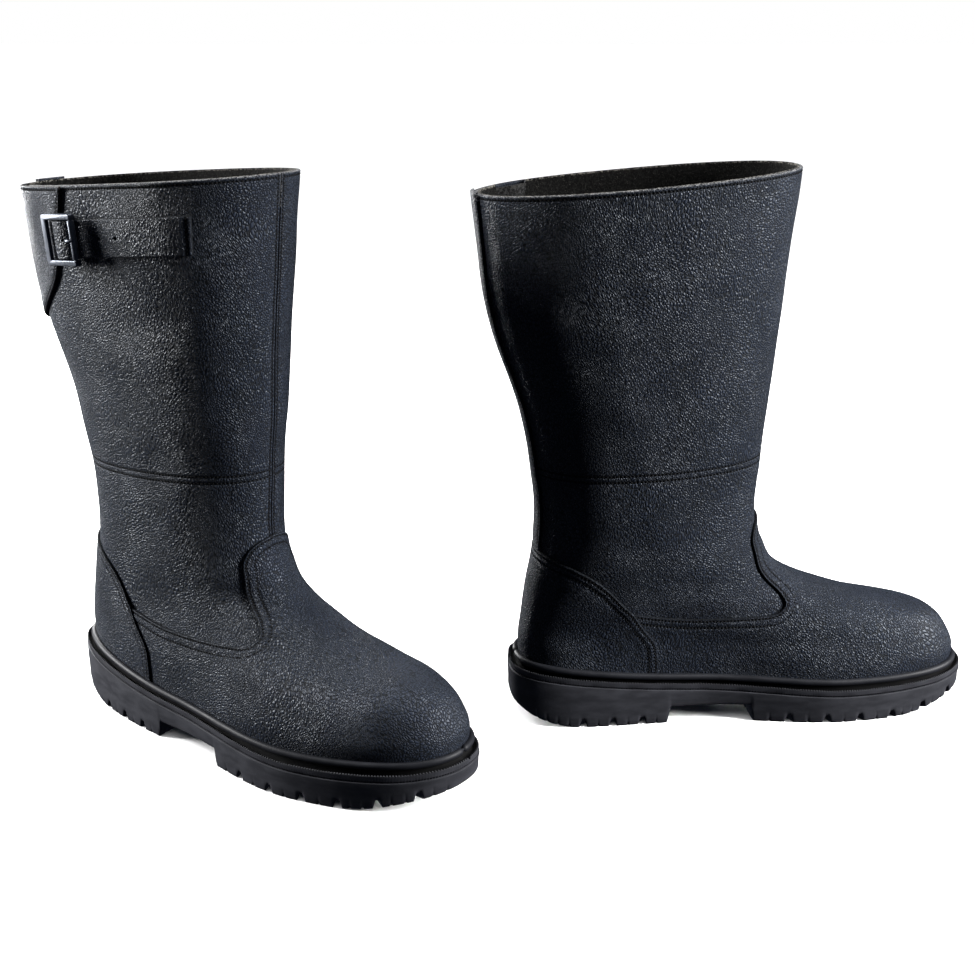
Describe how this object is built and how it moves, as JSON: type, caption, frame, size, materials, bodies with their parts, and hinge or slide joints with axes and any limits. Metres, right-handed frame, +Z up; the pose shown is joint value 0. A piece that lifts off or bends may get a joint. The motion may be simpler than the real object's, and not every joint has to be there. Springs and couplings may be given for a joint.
{
  "type": "fire boots",
  "caption": "Pair of pull-on leather fire boots with a strap and buckle on each shaft, steel toe caps and thick lugged soles.",
  "frame": {"origin": "bottom centre of the box round the pair, on the surface that the soles stand on", "axes": "+Z up; +X along the pair from the right boot to the left boot, which is also roughly the way the toes point; +Y completes the right-handed frame"},
  "size_m": [0.5994, 0.2138, 0.3495],
  "materials": {
    "leather": "pebbled full-grain leather, semi-matte",
    "strap_leather": "pebbled leather, semi-matte",
    "gusset_leather": "thin folded leather, raw edge",
    "buckle_metal": "painted grey, satin",
    "footbed_foam": "felt-faced foam",
    "fibre_board": "pressed fibre board",
    "steel": "bare steel",
    "sole_rubber": "moulded rubber, matte",
    "felt_lining": "dark felt",
    "canvas_lining": "plain canvas"
  },
  "bodies": {
    "right_boot": {"right_back_stay": "leather", "right_buckle_chape": "strap_leather", "right_footbed": "footbed_foam", "right_gusset": "gusset_leather", "right_heel_counter": "leather", "right_heel_stiffener": "fibre_board", "right_insole_board": "fibre_board", "right_lateral_shaft_panel": "leather", "right_medial_shaft_panel": "leather", "right_midsole": "sole_rubber", "right_outsole": "sole_rubber", "right_shaft_flap": "leather", "right_shaft_lining": "felt_lining", "right_steel_plate": "steel", "right_strap": "strap_leather", "right_toe_cap": "steel", "right_vamp": "leather", "right_vamp_lining": "canvas_lining", "right_welt_bead": "sole_rubber"},
    "right_buckle_frame": {"right_buckle_frame": "buckle_metal"},
    "right_buckle_roller": {"right_buckle_roller": "buckle_metal"},
    "right_buckle_prong": {"right_buckle_prong": "buckle_metal"},
    "left_boot": {"left_back_stay": "leather", "left_buckle_chape": "strap_leather", "left_footbed": "footbed_foam", "left_gusset": "gusset_leather", "left_heel_counter": "leather", "left_heel_stiffener": "fibre_board", "left_insole_board": "fibre_board", "left_lateral_shaft_panel": "leather", "left_medial_shaft_panel": "leather", "left_midsole": "sole_rubber", "left_outsole": "sole_rubber", "left_shaft_flap": "leather", "left_shaft_lining": "felt_lining", "left_steel_plate": "steel", "left_strap": "strap_leather", "left_toe_cap": "steel", "left_vamp": "leather", "left_vamp_lining": "canvas_lining", "left_welt_bead": "sole_rubber"},
    "left_buckle_frame": {"left_buckle_frame": "buckle_metal"},
    "left_buckle_roller": {"left_buckle_roller": "buckle_metal"},
    "left_buckle_prong": {"left_buckle_prong": "buckle_metal"}
  },
  "joints": [
    {"name": "left_boot_lift", "type": "slide", "parent": "right_boot", "child": "left_boot", "axis": [0, 0, 1], "range_m": [0, 0.4]},
    {"name": "right_buckle_tilt", "type": "hinge", "parent": "right_boot", "child": "right_buckle_frame", "pos_m": [-0.25566, -0.0064, 0.31003], "axis": [0.0894, -0.0095, -0.996], "range_deg": [-3, 3]},
    {"name": "right_roller_spin", "type": "hinge", "parent": "right_buckle_frame", "child": "right_buckle_roller", "pos_m": [-0.24813, -0.01559, 0.31079], "axis": [0.0894, -0.0095, -0.996], "continuous": true},
    {"name": "right_prong_lift", "type": "hinge", "parent": "right_buckle_frame", "child": "right_buckle_prong", "pos_m": [-0.25566, -0.0064, 0.31003], "axis": [0.0894, -0.0095, -0.996], "range_deg": [0, 8]},
    {"name": "left_buckle_tilt", "type": "hinge", "parent": "left_boot", "child": "left_buckle_frame", "pos_m": [0.05372, 0.08186, 0.31003], "axis": [-0.0838, 0.0324, 0.996], "range_deg": [-3, 3]},
    {"name": "left_roller_spin", "type": "hinge", "parent": "left_buckle_frame", "child": "left_buckle_roller", "pos_m": [0.06462, 0.08659, 0.31079], "axis": [-0.0838, 0.0324, 0.996], "continuous": true},
    {"name": "left_prong_lift", "type": "hinge", "parent": "left_buckle_frame", "child": "left_buckle_prong", "pos_m": [0.05372, 0.08186, 0.31003], "axis": [-0.0838, 0.0324, 0.996], "range_deg": [0, 8]}
  ]
}
